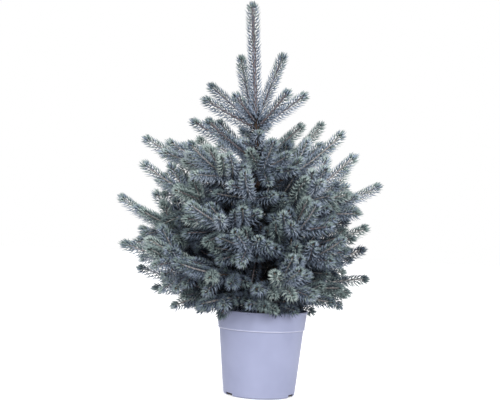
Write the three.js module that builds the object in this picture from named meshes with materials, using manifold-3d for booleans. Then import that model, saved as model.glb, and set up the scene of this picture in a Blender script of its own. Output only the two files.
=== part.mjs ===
// A young blue spruce in a plain plastic nursery container, for a patio.
//
// The container holds potting soil, the trunk stands on the soil and leans a little, and whorls of
// limbs leave it. Each limb carries one mass of foliage: a stem with side shoots, each a slim core
// that needles stand out of. On the lowest full whorl the limbs are bare boughs near the trunk, and
// on the others the foliage begins at the trunk.
//
// Millimetres, +Z up. The origin is the centre of the container's flat underside.

import * as THREE from "three";
import { mergeVertices } from "three/addons/utils/BufferGeometryUtils.js";
import Module from "manifold-3d";

const wasm = await Module();
wasm.setup();

// ---------------------------------------------------------------- driving sizes

const CLEAR = 0.3; // gap between solids that meet

const POT = {
  height: 220,
  rimRadius: 120,
  bandHeight: 49, // the thicker collar round the rim
  bandFootRadius: 113.2,
  bodyTopRadius: 110.4,
  footRadius: 93,
  footRounding: 5,
  lipWidth: 5,
  wall: 2.2,
  floor: 2.6,
  sides: 36,
  keepOut: 3, // kept free of needles round it
  rimRoom: 24, // kept free inside the rim
};

const DRAIN = { count: 3, firstAzimuth: 94, width: 30, height: 8, innerRadius: 80 };

const SOIL = { edge: 193, crown: 196, crownRadius: 34 };

const TRUNK = {
  top: 1012,
  lean: 4.05, // degrees, towards -X
  bow: 5,
  footRadius: 11.2,
  tipRadius: 1.9,
  taperPower: 1.1,
  flare: 6,
  flareHeight: 16,
  sides: 10,
  budLength: 7,
};

// The leader is the top of the trunk, with needles on a thin sleeve round it.
const LEADER = { foot: 726, wall: 1.3, sides: 6, gap: 26, seed: 7 };

const NEEDLE = {
  length: 26,
  shortest: 0.84, // as a share of length
  spread: 60, // degrees from the shoot, at the shoot's foot
  tipSpread: 28,
  tuft: 13, // reach past the end of a shoot
  margin: 1.6, // kept free on each side of the boundary between two masses
};

// The core of every shoot. Needles are a gap apart along it, and its foot is bare.
const SHOOT = { sides: 3, gap: 42, footRadius: 2.4, radius: 5, tipRadius: 3.6, bareFoot: 12 };

// A bough is bare for a share of its limb, where the mass takes over.
const BOUGH = { sides: 5, rings: 3, tipRadius: 2.9, footRadiusPerLength: 0.015, share: 0.26 };

const LIMB_TURN = 9; // degrees that a limb may swing round, either way, from the middle to its ends

// Side shoots. Each leaves the stem at a share of the limb's length, to its left (-1), its right
// (1) or in the middle (0), above or under it.
const TWIG = {
  places: [[0.38, -1], [0.38, 1], [0.5, 0], [0.62, 1], [0.64, -1]],
  lengthShare: 0.66, // of the limb that is left past the place
  spread: 52,
  tipSpread: 28,
  wobble: 16, // of the lift, either way
  reach: [0.9, 1.15], // least and greatest, as a share of the planned length
  shorter: 0.75, // tried where the full length has no room
  foreignRoom: 32, // least distance to another mass's shoots
  ownRoom: 15, // least distance to the same mass's shoots
  rimRoom: 10, // least height over the container's rim
};

// One row per whorl, from the top down. The limbs' feet stand a stagger below and above the height
// in turn. Azimuths run anticlockwise from +X, seen from above. Rise is the slope of the whole limb,
// and bend is how much steeper its tip is than its foot. The first lift is how far the shoots at the
// sides turn up from the limb, and the second is the same for the one in the middle.
const WHORLS = [
  {
    name: "top", height: 704, stagger: 7, bend: 8, boughs: false, twigs: 0,
    azimuths: [8, 58, 112, 163, 208, 230, 318],
    rises: [37, 58, 57, 37, 22, 36, 40],
    lengths: [156, 234, 244, 162, 160, 102, 134],
  },
  {
    name: "internode", height: 616, stagger: 9, bend: 10, boughs: false, twigs: 0,
    azimuths: [24, 86, 150, 196, 234],
    rises: [40, 45, 41, 24, 22],
    lengths: [162, 158, 162, 188, 222],
  },
  {
    name: "upper", height: 545, stagger: 16, bend: 24, boughs: false, twigs: 3, lifts: [8, 22],
    azimuths: [350, 46, 106, 172, 228, 282],
    rises: [36, 35, 46, 18, 22, 25],
    lengths: [268, 304, 240, 330, 276, 202],
  },
  {
    name: "shoulder", height: 472, stagger: 20, bend: 24, boughs: false, twigs: 4, lifts: [4, 26],
    azimuths: [16, 66, 110, 152, 196, 262, 328],
    rises: [18, 28, 30, 11, 23, 17, 31],
    lengths: [356, 258, 282, 334, 344, 242, 326],
  },
  {
    name: "middle", height: 398, stagger: -22, bend: 32, boughs: false, twigs: 5, lifts: [2, 30],
    azimuths: [36, 84, 124, 174, 234, 298],
    rises: [17, 25, 16, 18, 12, 23],
    lengths: [334, 318, 322, 416, 306, 308],
  },
  {
    name: "waist", height: 346, stagger: -18, bend: 26, boughs: false, twigs: 5, lifts: [0, 32],
    azimuths: [8, 72, 150, 204, 258, 312],
    rises: [16, 16, 8, 8, 11, 16],
    lengths: [300, 318, 404, 384, 294, 308],
  },
  {
    name: "lower", height: 296, stagger: -16, bend: 20, boughs: true, twigs: 5, lifts: [0, 38],
    azimuths: [346, 44, 112, 176, 230, 288],
    rises: [16, 11, 7, 6, 5, 11],
    lengths: [278, 318, 314, 326, 302, 298],
  },
  {
    name: "skirt", height: 246, stagger: -7, bend: -12, boughs: false, twigs: 5, lifts: [-8, -30],
    azimuths: [4, 62, 116, 186, 230, 272, 318],
    rises: [12, 3, 0, 6, -3, 2, 1],
    lengths: [278, 268, 268, 276, 224, 214, 232],
  },
];

const COLOURS = {
  pot: { color: 0xadb1cf, roughness: 0.48, metalness: 0 },
  soil: { color: 0x2a211a, roughness: 0.95, metalness: 0 },
  bark: { color: 0x6d5a4b, roughness: 0.9, metalness: 0 },
  needles: { color: 0x62757a, roughness: 0.6, metalness: 0 },
};

// ---------------------------------------------------------------- helpers

const radians = THREE.MathUtils.degToRad;
const lerp = THREE.MathUtils.lerp;
const UP = new THREE.Vector3(0, 0, 1);

// A small seeded generator, so that the tree is the same each time.
function seededRandom(seed) {
  let state = (seed * 2654435761 + 12345) >>> 0;
  return () => {
    state = (Math.imul(state, 1664525) + 1013904223) >>> 0;
    return state / 4294967296;
  };
}

function direction(azimuth, rise) {
  const a = radians(azimuth), r = radians(rise);
  return new THREE.Vector3(Math.cos(a) * Math.cos(r), Math.sin(a) * Math.cos(r), Math.sin(r));
}

function solidFrom(geometry) {
  const bare = geometry.clone();
  bare.deleteAttribute("normal");
  bare.deleteAttribute("uv");
  const merged = mergeVertices(bare, 1e-4);
  return new wasm.Manifold(new wasm.Mesh({
    numProp: 3,
    vertProperties: new Float32Array(merged.attributes.position.array),
    triVerts: new Uint32Array(merged.index.array),
  }));
}

function geometryFrom(solid) {
  const mesh = solid.getMesh();
  const positions = new Float32Array(mesh.numVert * 3);
  for (let i = 0; i < mesh.numVert; i++) {
    positions.set(mesh.vertProperties.subarray(i * mesh.numProp, i * mesh.numProp + 3), i * 3);
  }
  const geometry = new THREE.BufferGeometry();
  geometry.setAttribute("position", new THREE.BufferAttribute(positions, 3));
  geometry.setIndex(new THREE.BufferAttribute(new Uint32Array(mesh.triVerts), 1));
  geometry.computeVertexNormals();
  return geometry;
}

const tree = new THREE.Group();
tree.name = "potted_blue_spruce";

function addNode(name, solid, finish) {
  const mesh = new THREE.Mesh(geometryFrom(solid), new THREE.MeshStandardMaterial(COLOURS[finish]));
  mesh.name = name;
  tree.add(mesh);
}

// A turned solid about the Z axis, from (radius, height) pairs that start and end on the axis.
function turned(profile, sides) {
  const points = profile.map(([radius, height]) => new THREE.Vector2(radius, height));
  return solidFrom(new THREE.LatheGeometry(points, sides).rotateX(Math.PI / 2));
}

// ---------------------------------------------------------------- container and soil

// Radius of the inner wall at a height above the ground.
function innerRadius(height) {
  const bandFoot = POT.height - POT.bandHeight;
  if (height < bandFoot) {
    return lerp(POT.footRadius, POT.bodyTopRadius, height / bandFoot) - POT.wall;
  }
  const share = (height - bandFoot) / POT.bandHeight;
  return lerp(POT.bodyTopRadius - POT.wall, POT.rimRadius - POT.lipWidth, share);
}

function makePot() {
  const bandFoot = POT.height - POT.bandHeight;
  const outside = [
    [0, 0],
    [POT.footRadius - POT.footRounding, 0],
    [POT.footRadius - POT.footRounding * 0.3, POT.footRounding * 0.3],
    [POT.footRadius, POT.footRounding],
    [POT.bodyTopRadius, bandFoot],
    [POT.bandFootRadius, bandFoot + 1.5],
    [POT.rimRadius - 0.8, POT.height - 5],
    [POT.rimRadius, POT.height - 3],
    [POT.rimRadius - 1, POT.height],
  ];
  const inside = [
    [POT.rimRadius - POT.lipWidth + 1, POT.height],
    [innerRadius(POT.height - 3), POT.height - 3],
    [innerRadius(bandFoot), bandFoot],
    [innerRadius(POT.floor), POT.floor],
    [0, POT.floor],
  ];
  let pot = turned([...outside, ...inside], POT.sides);
  const depth = POT.footRadius - DRAIN.innerRadius + 10;
  for (let i = 0; i < DRAIN.count; i++) {
    const notch = new THREE.BoxGeometry(depth, DRAIN.width, 2 * DRAIN.height);
    notch.translate(DRAIN.innerRadius + depth / 2, 0, 0);
    notch.rotateZ(radians(DRAIN.firstAzimuth + (i * 360) / DRAIN.count));
    pot = pot.subtract(solidFrom(notch));
  }
  return pot;
}

function makeSoil() {
  const foot = POT.floor + CLEAR;
  const bandFoot = POT.height - POT.bandHeight;
  return turned([
    [0, foot],
    [innerRadius(foot) - CLEAR, foot],
    [innerRadius(bandFoot) - CLEAR, bandFoot],
    [innerRadius(SOIL.edge) - CLEAR, SOIL.edge],
    [SOIL.crownRadius, SOIL.crown],
    [0, SOIL.crown],
  ], POT.sides);
}

// True where a point is in the container or its soil, or too near them.
function inPot(point) {
  const radius = Math.hypot(point.x, point.y);
  const top = radius < POT.rimRadius - POT.rimRoom ? SOIL.crown : POT.height;
  return radius < POT.rimRadius + POT.keepOut && point.z < top + POT.keepOut;
}

// ---------------------------------------------------------------- trunk

function trunkAxis(height) {
  const share = (height - SOIL.crown) / (TRUNK.top - SOIL.crown);
  const x = -Math.tan(radians(TRUNK.lean)) * (height - SOIL.crown);
  return new THREE.Vector3(x, TRUNK.bow * Math.sin(Math.PI * share), height);
}

function trunkRadius(height) {
  const share = THREE.MathUtils.clamp((height - SOIL.crown) / (TRUNK.top - SOIL.crown), 0, 1);
  const stem = TRUNK.tipRadius + (TRUNK.footRadius - TRUNK.tipRadius) * (1 - share) ** TRUNK.taperPower;
  return stem + TRUNK.flare * Math.exp(-(height - SOIL.crown) / TRUNK.flareHeight);
}

// The trunk, or with grow > 0 the space round it that everything else keeps out of.
function makeTrunk(grow) {
  const foot = SOIL.crown + CLEAR;
  const heights = [foot, foot + 6, foot + 16, foot + 32, foot + 60];
  for (let height = 320; height < TRUNK.top; height += 98.8) heights.push(height);
  heights.push(TRUNK.top);
  const profile = [
    [0, foot],
    ...heights.map((height) => [trunkRadius(height) + grow, height]),
    [0, TRUNK.top + TRUNK.budLength + grow],
  ];
  const points = profile.map(([radius, height]) => new THREE.Vector2(radius, height));
  const geometry = new THREE.LatheGeometry(points, TRUNK.sides).rotateX(Math.PI / 2);
  const place = geometry.attributes.position;
  for (let i = 0; i < place.count; i++) {
    const axis = trunkAxis(place.getZ(i));
    place.setXY(i, place.getX(i) + axis.x, place.getY(i) + axis.y);
  }
  return solidFrom(geometry);
}

// ---------------------------------------------------------------- limbs and their space

// Each limb's curve, from its foot on the trunk's axis or on a stem.
function limbCurve(foot, start, end, length) {
  const bend = foot.clone().addScaledVector(start, length / 2);
  return new THREE.QuadraticBezierCurve3(foot, bend, bend.clone().addScaledVector(end, length / 2));
}

// The lines that the tree is made of. A mass's needles keep to the space that is nearer its own
// lines than any other mass's, and clear of bare wood.
const lines = [];

function addLine(owner, curve, from, to, pieces, bareRadius = 0) {
  for (let i = 0; i < pieces; i++) {
    lines.push({
      owner,
      bareRadius,
      line: new THREE.Line3(
        curve.getPoint(lerp(from, to, i / pieces)),
        curve.getPoint(lerp(from, to, (i + 1) / pieces)),
      ),
    });
  }
}

const nearest = new THREE.Vector3();
function distanceTo(line, point) {
  return line.closestPointToPoint(point, true, nearest).distanceTo(point);
}

function inOwnSpace(owner, point) {
  if (inPot(point)) return false;
  let own = Infinity, other = Infinity;
  for (const { owner: theirs, bareRadius, line } of lines) {
    const distance = distanceTo(line, point);
    if (bareRadius) {
      if (theirs !== owner && distance < bareRadius + 2 * NEEDLE.margin) return false;
    } else if (theirs === owner) own = Math.min(own, distance);
    else other = Math.min(other, distance);
  }
  return own + 2 * NEEDLE.margin < other;
}

// Least distance from a curve's outer part to any other mass, and to its own mass's other shoots.
function hasRoom(owner, curve) {
  for (let t = 0.2; t <= 1.001; t += 0.2) {
    const point = curve.getPoint(t);
    if (inPot(point) || inPot(point.clone().addScaledVector(UP, -TWIG.rimRoom))) return false;
    for (const { owner: theirs, bareRadius, line } of lines) {
      const distance = distanceTo(line, point);
      if (theirs !== owner && distance < TWIG.foreignRoom) return false;
      if (theirs === owner && !bareRadius && t > 0.5 && distance < TWIG.ownRoom) return false;
    }
  }
  return true;
}

// ---------------------------------------------------------------- shapes

// Right and up across a curve at t.
function crossFrame(curve, t) {
  const along = curve.getTangent(t);
  const right = new THREE.Vector3().crossVectors(along, UP);
  if (right.lengthSq() < 1e-4) right.set(0, 1, 0);
  right.normalize();
  return { along, right, up: new THREE.Vector3().crossVectors(right, along) };
}

// Rings of points round a curve, each turned half a step from the last.
function ringsAlong(curve, from, to, count, sides, radiusAt) {
  const rings = [];
  for (let i = 0; i <= count; i++) {
    const t = lerp(from, to, i / count);
    const { along, right, up } = crossFrame(curve, t);
    const centre = curve.getPoint(t);
    const points = [];
    for (let k = 0; k < sides; k++) {
      const angle = Math.PI / 2 + ((k + i / 2) * 2 * Math.PI) / sides;
      points.push(centre.clone()
        .addScaledVector(right, radiusAt(i / count) * Math.cos(angle))
        .addScaledVector(up, radiusAt(i / count) * Math.sin(angle)));
    }
    rings.push({ centre, along, points });
  }
  return rings;
}

// A closed skin over rings. spike(corners, ring) may give a point that a facet is drawn out to.
function skinOver(rings, tip, spike) {
  const facets = [];
  const sides = rings[0].points.length;
  const addFacet = (corners, ring) => {
    const point = spike ? spike(corners, ring) : null;
    if (!point) facets.push(corners);
    else corners.forEach((corner, i) => facets.push([corner, corners[(i + 1) % 3], point]));
  };
  for (let i = 0; i + 1 < rings.length; i++) {
    const near = rings[i].points, far = rings[i + 1].points;
    for (let k = 0; k < sides; k++) {
      const next = (k + 1) % sides;
      addFacet([near[k], far[k], near[next]], i);
      addFacet([far[k], far[next], near[next]], i);
    }
  }
  const foot = rings[0].points, last = rings[rings.length - 1].points;
  for (let k = 1; k + 1 < sides; k++) facets.push([foot[0], foot[k], foot[k + 1]]);
  for (let k = 0; k < sides; k++) facets.push([last[k], tip, last[(k + 1) % sides]]);
  return solidFrom(new THREE.BufferGeometry().setFromPoints(facets.flat()));
}

// One tapering limb with flat ends.
function taperedLimb(curve, from, to, footRadius, tipRadius) {
  const radiusAt = (share) => lerp(footRadius, tipRadius, share);
  const rings = ringsAlong(curve, from, to, BOUGH.rings, BOUGH.sides, radiusAt);
  return skinOver(rings, rings[BOUGH.rings].centre, null);
}

// A slim core whose facets are drawn out into needles, and a tuft at its end. The core begins at a
// share of the curve, and a length of it stays bare at its foot.
function needledCore(owner, random, curve, { from, bareFoot, sides, gap, radiusAt }) {
  const length = curve.getPoint(from).distanceTo(curve.getPoint(1));
  const count = Math.max(2, Math.round(length / gap));
  const rings = ringsAlong(curve, from, 1, count, sides, radiusAt);
  const end = rings[count];
  const tip = end.centre.clone().addScaledVector(end.along, NEEDLE.tuft);
  const spike = (corners, ring) => {
    const size = NEEDLE.length * lerp(NEEDLE.shortest, 1, random());
    const share = ring / count;
    if (share * length < bareFoot) return null;
    const foot = corners[0].clone().add(corners[1]).add(corners[2]).divideScalar(3);
    const axis = new THREE.Line3(rings[ring].centre, rings[ring + 1].centre);
    axis.closestPointToPoint(foot, true, nearest);
    const out = foot.clone().sub(nearest).normalize();
    const spread = radians(lerp(NEEDLE.spread, NEEDLE.tipSpread, share ** 3));
    const way = out.multiplyScalar(Math.sin(spread)).addScaledVector(rings[ring].along, Math.cos(spread));
    for (const shorten of [1, 0.75, 0.5, 0.3]) {
      const point = foot.clone().addScaledVector(way, size * shorten);
      const middle = foot.clone().addScaledVector(way, (size * shorten) / 2);
      if (inOwnSpace(owner, point) && inOwnSpace(owner, middle)) return point;
    }
    return null;
  };
  return skinOver(rings, tip, spike);
}

// ---------------------------------------------------------------- the growth rule

// Plans each whorl's limbs: the curve, and where the bough ends and the foliage begins.
function planLimbs() {
  const limbs = [];
  WHORLS.forEach((whorl, whorlIndex) => {
    whorl.azimuths.forEach((azimuth, i) => {
      const random = seededRandom(100 * (whorlIndex + 1) + i);
      const height = whorl.height + whorl.stagger * (i % 2 ? 1 : -1);
      const rise = whorl.rises[i];
      const turn = lerp(-LIMB_TURN, LIMB_TURN, random());
      const curve = limbCurve(
        trunkAxis(height),
        direction(azimuth - turn, rise - whorl.bend / 2),
        direction(azimuth + turn, rise + whorl.bend / 2),
        whorl.lengths[i],
      );
      limbs.push({
        whorl, random, curve,
        label: `${whorl.name}_${i + 1}`,
        length: whorl.lengths[i],
        height,
        foliageFrom: whorl.boughs ? BOUGH.share : 0,
        twigs: [],
      });
    });
  });
  return limbs;
}

// A side shoot that leaves the limb at t, to one side (-1 or 1) or in the middle (0).
function twigCurve(limb, t, side, reach, wobble) {
  const { along, right } = crossFrame(limb.curve, t);
  const length = limb.length * (1 - t) * TWIG.lengthShare * reach;
  const lift = limb.whorl.lifts[side ? 0 : 1] + wobble;
  const way = (spread) => {
    const a = radians(side ? spread : 0), b = radians(lift);
    return along.clone().multiplyScalar(Math.cos(a)).addScaledVector(right, side * Math.sin(a))
      .multiplyScalar(Math.cos(b)).addScaledVector(UP, Math.sin(b)).normalize();
  };
  return limbCurve(limb.curve.getPoint(t), way(TWIG.spread), way(TWIG.tipSpread), length);
}

// Grows a limb's side shoots in turn. One with no room is tried shorter, and then skipped.
function planTwigs(limb) {
  for (const [t, side] of TWIG.places.slice(0, limb.whorl.twigs)) {
    const wobble = lerp(-TWIG.wobble, TWIG.wobble, limb.random());
    const reach = lerp(...TWIG.reach, limb.random());
    for (const share of [1, TWIG.shorter]) {
      const curve = twigCurve(limb, t, side, reach * share, wobble);
      if (!hasRoom(limb.label, curve)) continue;
      limb.twigs.push(curve);
      addLine(limb.label, curve, 0, 1, 4);
      break;
    }
  }
}

function shoot(limb, curve, from, bareFoot) {
  return needledCore(limb.label, limb.random, curve, {
    from,
    bareFoot,
    sides: SHOOT.sides,
    gap: SHOOT.gap,
    radiusAt: (share) => (share === 0 ? SHOOT.footRadius : lerp(SHOOT.radius, SHOOT.tipRadius, share)),
  });
}

function makeFoliage(limb, trunkSpace) {
  const onBough = limb.foliageFrom > 0;
  const from = onBough ? limb.foliageFrom + CLEAR / limb.length : 0;
  const insideTrunk = onBough ? 0 : trunkRadius(limb.height);
  let solid = shoot(limb, limb.curve, from, insideTrunk + SHOOT.bareFoot);
  for (const twig of limb.twigs) solid = solid.add(shoot(limb, twig, 0, SHOOT.bareFoot));
  return onBough ? solid : solid.subtract(trunkSpace);
}

function makeBough(limb, trunkSpace) {
  const footRadius = limb.length * BOUGH.footRadiusPerLength;
  return taperedLimb(limb.curve, 0, BOUGH.share, footRadius, BOUGH.tipRadius).subtract(trunkSpace);
}

// The leader's needles stand on a thin sleeve of bark round the top of the trunk.
function makeLeaderFoliage(trunkSpace) {
  const axis = new THREE.LineCurve3(trunkAxis(LEADER.foot), trunkAxis(TRUNK.top + TRUNK.budLength));
  const heightAt = (share) => lerp(LEADER.foot, TRUNK.top + TRUNK.budLength, share);
  const outerRadius = (share) => trunkRadius(heightAt(share)) + CLEAR + LEADER.wall;
  const sleeve = needledCore("leader", seededRandom(LEADER.seed), axis, {
    from: 0,
    bareFoot: 0,
    sides: LEADER.sides,
    gap: LEADER.gap,
    radiusAt: (share) => outerRadius(share) / Math.cos(Math.PI / LEADER.sides),
  });
  return sleeve.subtract(trunkSpace);
}

// ---------------------------------------------------------------- assembly

addNode("pot", makePot(), "pot");
addNode("soil", makeSoil(), "soil");
addNode("trunk", makeTrunk(0), "bark");

const trunkSpace = makeTrunk(CLEAR);
const trunkStep = (LEADER.foot - SOIL.crown) / 14;
for (let height = SOIL.crown; height < LEADER.foot - 1; height += trunkStep) {
  const piece = new THREE.LineCurve3(trunkAxis(height), trunkAxis(height + trunkStep));
  addLine("trunk", piece, 0, 1, 1, trunkRadius(height));
}
addLine("leader", new THREE.LineCurve3(trunkAxis(LEADER.foot), trunkAxis(TRUNK.top)), 0, 1, 4);

const limbs = planLimbs();
for (const { label, curve, foliageFrom } of limbs) {
  if (foliageFrom) addLine(`bough_${label}`, curve, 0, foliageFrom, 3, BOUGH.tipRadius * 1.6);
  addLine(label, curve, foliageFrom, 1, 7);
}
limbs.forEach(planTwigs);

for (const limb of limbs) {
  if (limb.foliageFrom) addNode(`bough_${limb.label}`, makeBough(limb, trunkSpace), "bark");
  addNode(`foliage_${limb.label}`, makeFoliage(limb, trunkSpace), "needles");
}
addNode("foliage_leader", makeLeaderFoliage(trunkSpace), "needles");

export default tree;
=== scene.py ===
# %% [markdown]
# # A young blue spruce in a plastic nursery pot
#
# The tree is a grown thing: a trunk, whorls of limbs, side shoots on the limbs, finer shoots on
# those, and needles on all of them. The imported model brings the pot, the soil, the trunk and a
# coarse form of every limb. This lesson dresses it: it repeats the rule that placed the limbs,
# carries it on to the finer shoots, and gives each surface its finish.

import math

import bmesh
import bpy
import numpy as np
from mathutils import Matrix, Quaternion, Vector, noise


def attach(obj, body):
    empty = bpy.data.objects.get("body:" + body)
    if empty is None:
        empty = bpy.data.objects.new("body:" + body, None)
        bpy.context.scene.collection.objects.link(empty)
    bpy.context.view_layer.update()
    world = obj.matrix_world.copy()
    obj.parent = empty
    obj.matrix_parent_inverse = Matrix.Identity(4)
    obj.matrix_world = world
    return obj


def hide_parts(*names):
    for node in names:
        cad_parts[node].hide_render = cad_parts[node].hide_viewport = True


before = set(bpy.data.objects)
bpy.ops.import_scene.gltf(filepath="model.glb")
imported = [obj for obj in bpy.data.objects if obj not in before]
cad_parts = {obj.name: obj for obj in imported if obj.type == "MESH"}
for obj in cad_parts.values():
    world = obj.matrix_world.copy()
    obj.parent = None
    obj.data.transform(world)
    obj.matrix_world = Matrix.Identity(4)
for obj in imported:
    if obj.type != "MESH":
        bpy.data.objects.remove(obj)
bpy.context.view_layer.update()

# %% [markdown]
# ## Camera
#
# The tree is seen from a few steps away, from about the height of its middle limbs, with a long
# lens. The camera is rolled a little, so the upright pot stands slightly askew in the frame. The
# display shows colours as they are, with no filmic curve, so that white paper stays white.

# %% Camera and display
MM = 0.001

camera_data = bpy.data.cameras.new("camera")
camera_data.lens = 68.26
camera_data.sensor_width = 36.0
camera = bpy.data.objects.new("camera", camera_data)
bpy.context.collection.objects.link(camera)
bpy.context.scene.camera = camera

camera.location = Vector((0.0, -2.5, 0.423))
camera_aim = Vector((-0.044, 0.0, 0.506))
camera_roll = Quaternion((0, 0, 1), math.radians(2.4))
camera.rotation_mode = "QUATERNION"
camera.rotation_quaternion = (camera_aim - camera.location).to_track_quat("-Z", "Y") @ camera_roll

bpy.context.scene.view_settings.view_transform = "Standard"
print("camera looks from", tuple(camera.location), "at", tuple(camera_aim))

# %% [markdown]
# ## Floor
#
# A plant in a studio stands on a white sweep. A wide plain disc does for it, a little bright of
# its own, so that it stays white to its edge. Three helpers for the later pieces come with it:
# one makes a material, one turns a display colour into the values that a shader takes, and one
# ends a bmesh as an object.

# %% Floor
def new_material(name, colour, roughness, **sockets):
    """A material with one shader, whose plain values stand on the shader's own sockets."""
    material = bpy.data.materials.new(name)
    material.use_nodes = True
    shader = material.node_tree.nodes["Principled BSDF"]
    shader.inputs["Base Color"].default_value = (*colour, 1.0)
    shader.inputs["Roughness"].default_value = roughness
    for socket, value in sockets.items():
        shader.inputs[socket.replace("_", " ")].default_value = value
    return material


def linear(red, green, blue):
    """A display colour from 0 to 255 as the linear values that a shader takes."""
    values = (value / 255 for value in (red, green, blue))
    return tuple(v / 12.92 if v <= 0.04045 else ((v + 0.055) / 1.055) ** 2.4 for v in values)


def piece_from(bm, name, *materials):
    """Ends a bmesh as an object at the origin, with its finishes."""
    mesh = bpy.data.meshes.new(name)
    bm.to_mesh(mesh)
    bm.free()
    piece = bpy.data.objects.new(name, mesh)
    bpy.context.collection.objects.link(piece)
    for material in materials:
        mesh.materials.append(material)
    return piece


bm = bmesh.new()
bmesh.ops.create_circle(bm, cap_ends=True, segments=64, radius=14.0)
bmesh.ops.translate(bm, verts=bm.verts, vec=(0, 0, -0.0005))
floor_finish = new_material("white_floor", (0.9, 0.9, 0.91), 0.9)
floor_shader = floor_finish.node_tree.nodes["Principled BSDF"]
floor_shader.inputs["Emission Color"].default_value = (1, 1, 1, 1)
floor_shader.inputs["Emission Strength"].default_value = 0.42
floor = piece_from(bm, "floor", floor_finish)
floor.visible_diffuse = False  # the floor's light is left to the lower half of the sky
print("the floor is", round(floor.dimensions.x), "m across")

# %% [markdown]
# ## Light
#
# In a studio light comes from all round. A bright even sky gives the light that reaches between
# the needles. It is greyer below, or the undersides of the limbs would be as pale as their tops.
# Two large soft lamps in front give the shoots a lighter side. Small hard lamps would fleck the
# crown with sharp spots, so there are none.

# %% Sky and lamps
SKY_FADE = -0.22, -0.13  # between these heights the sky turns from grey below to white
world = bpy.data.worlds.new("studio")
world.use_nodes = True
sky_nodes, sky_links = world.node_tree.nodes, world.node_tree.links
sky_place = sky_nodes.new("ShaderNodeTexCoord")
sky_parts = sky_nodes.new("ShaderNodeSeparateXYZ")
sky_tones = sky_nodes.new("ShaderNodeValToRGB")
sky_links.new(sky_place.outputs["Generated"], sky_parts.inputs["Vector"])
sky_height = sky_nodes.new("ShaderNodeMapRange")
for socket, height in zip(("From Min", "From Max"), SKY_FADE):
    sky_height.inputs[socket].default_value = height
sky_links.new(sky_parts.outputs["Z"], sky_height.inputs["Value"])
sky_links.new(sky_height.outputs["Result"], sky_tones.inputs["Fac"])
sky_links.new(sky_tones.outputs["Color"], sky_nodes["Background"].inputs["Color"])
sky_tones.color_ramp.elements[0].color = (0.42, 0.42, 0.45, 1)
sky_tones.color_ramp.elements[1].color = (1.0, 1.0, 1.0, 1)
bpy.context.scene.world = world


def soft_lamp(name, place, aim, size, power):
    lamp = bpy.data.lights.new(name, "AREA")
    lamp.size = size
    lamp.energy = power
    holder = bpy.data.objects.new(name, lamp)
    bpy.context.collection.objects.link(holder)
    holder.location = place
    holder.rotation_mode = "QUATERNION"
    holder.rotation_quaternion = (Vector(aim) - Vector(place)).to_track_quat("-Z", "Y")


soft_lamp("key_lamp", (1.0, -2.7, 1.35), (0, 0, 0.5), 0.9, 53)
soft_lamp("fill_lamp", (-1.9, -1.9, 1.7), (0, 0, 0.5), 1.4, 22)
print("a sky and", len(bpy.data.lights), "soft lamps are set")

# %% [markdown]
# ## Sizes that the tree grows from
#
# A spruce puts out one whorl of limbs a year, and a few weaker limbs between the whorls. Each row
# below is one whorl, from the top down, with its limbs' directions, slopes and lengths in degrees
# and millimetres. The stagger sets its limbs in turn a little above and below its height, and
# the bend is how far a limb turns up or down on its way. The twigs are the first side shoots that
# a limb may bear, and the lifts are how steeply they leave, at its sides and on top. Every shoot
# further on is worked out from these rows by rule.

# %% Sizes of pot, trunk and whorls
POT = dict(height=220, rim_radius=120, band_height=49, band_foot_radius=113.2,
           body_top_radius=110.4, foot_radius=93, foot_rounding=5, lip_width=5,
           wall=2.2, floor=2.6, keep_out=3, rim_room=24)
DRAIN = dict(count=3, first_azimuth=94, width=30, height=8, inner_radius=80)
SOIL = dict(edge=193, crown=196)
TRUNK = dict(top=1012, lean=4.05, bow=5, foot_radius=11.2, tip_radius=1.9,
             taper_power=1.1, flare=6, flare_height=16, bud_length=7)
LEADER_FOOT = 726
BARE_SHARE = 0.26  # of a limb that is a bare bough, where its whorl has boughs
BOUGH_TIP_RADIUS = 2.9
BOUGH_FOOT_PER_LENGTH = 0.015
LIMB_TURN = 9

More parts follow.
